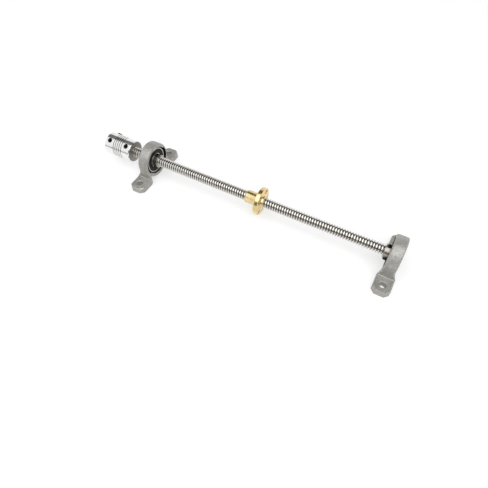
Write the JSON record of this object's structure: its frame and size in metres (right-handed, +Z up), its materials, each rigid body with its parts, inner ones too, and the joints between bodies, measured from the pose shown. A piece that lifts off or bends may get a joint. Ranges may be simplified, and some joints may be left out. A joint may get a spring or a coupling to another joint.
{
  "type": "trapezoidal lead screw assembly",
  "caption": "Trapezoidal lead screw in two small pillow blocks, with a flanged brass nut and a helical beam coupling for the motor.",
  "frame": {"origin": "on the mounting plane, under the middle of the drive-end pillow block, on its line of bolt holes", "axes": "+X along the screw from the drive end to the idle end, +Y along the pillow blocks' feet, +Z up from the mounting plane"},
  "size_m": [0.2555, 0.055, 0.029],
  "materials": {
    "stainless_steel": "bright rolled stainless thread",
    "nut_brass": "turned brass",
    "coupling_aluminium": "bright turned",
    "zinc_casting": "bare tumbled zinc die casting",
    "bearing_steel": "ground bearing steel",
    "ball_steel": "polished",
    "cage_polymer": "moulded, natural",
    "seal_rubber": "matt black",
    "black_oxide": "black oxide"
  },
  "bodies": {
    "base": {"drive_housing": "zinc_casting", "drive_outer_ring": "bearing_steel", "drive_seal_inboard": "seal_rubber", "drive_seal_outboard": "seal_rubber", "idle_housing": "zinc_casting", "idle_outer_ring": "bearing_steel", "idle_seal_inboard": "seal_rubber", "idle_seal_outboard": "seal_rubber"},
    "screw": {"lead_screw": "stainless_steel", "drive_inner_ring": "bearing_steel", "drive_collar_screws": "black_oxide", "idle_inner_ring": "bearing_steel", "idle_collar_screws": "black_oxide", "coupling_body": "coupling_aluminium", "coupling_motor_set_screws": "black_oxide", "coupling_screw_set_screws": "black_oxide"},
    "nut": {"flanged_nut": "nut_brass"},
    "drive_ball_set": {"drive_balls": "ball_steel", "drive_cage": "cage_polymer"},
    "idle_ball_set": {"idle_balls": "ball_steel", "idle_cage": "cage_polymer"}
  },
  "joints": [
    {"name": "screw_spin", "type": "hinge", "parent": "base", "child": "screw", "pos_m": [0, 0, 0.015], "axis": [1, 0, 0], "range_deg": [-16730, 14390]},
    {"name": "nut_travel", "type": "slide", "parent": "base", "child": "nut", "axis": [1, 0, 0], "range_m": [-0.08, 0.093]},
    {"name": "drive_ball_spin", "type": "hinge", "parent": "base", "child": "drive_ball_set", "pos_m": [0, 0, 0.015], "axis": [1, 0, 0], "range_deg": [-6160, 5310]},
    {"name": "idle_ball_spin", "type": "hinge", "parent": "base", "child": "idle_ball_set", "pos_m": [0.206, 0, 0.015], "axis": [1, 0, 0], "range_deg": [-6160, 5310]}
  ],
  "couplings": [
    {"joint": "nut_travel", "follows": "screw_spin", "m_per_rad": -0.00031831},
    {"joint": "drive_ball_spin", "follows": "screw_spin", "ratio": 0.3677},
    {"joint": "idle_ball_spin", "follows": "screw_spin", "ratio": 0.3677}
  ]
}
